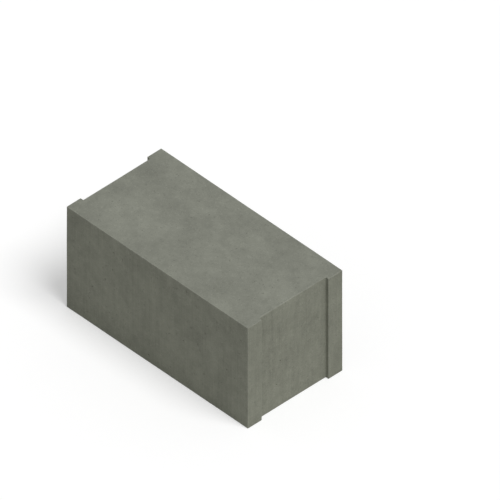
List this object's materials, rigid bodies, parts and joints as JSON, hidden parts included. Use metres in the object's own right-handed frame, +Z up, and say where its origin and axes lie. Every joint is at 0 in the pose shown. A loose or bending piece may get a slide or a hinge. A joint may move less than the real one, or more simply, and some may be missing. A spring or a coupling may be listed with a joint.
{
  "type": "solid concrete block",
  "caption": "Solid rectangular concrete masonry block, twice as long as it is wide and high, with a wide shallow mortar recess between two strips in each end.",
  "frame": {"origin": "centre of the underside, on the surface that the block lies on", "axes": "+X along the length, +Y across the width, +Z up to the top bed"},
  "size_m": [0.4, 0.2, 0.2],
  "materials": {
    "concrete": "matte"
  },
  "bodies": {
    "root": {"block": "concrete"}
  },
  "joints": []
}
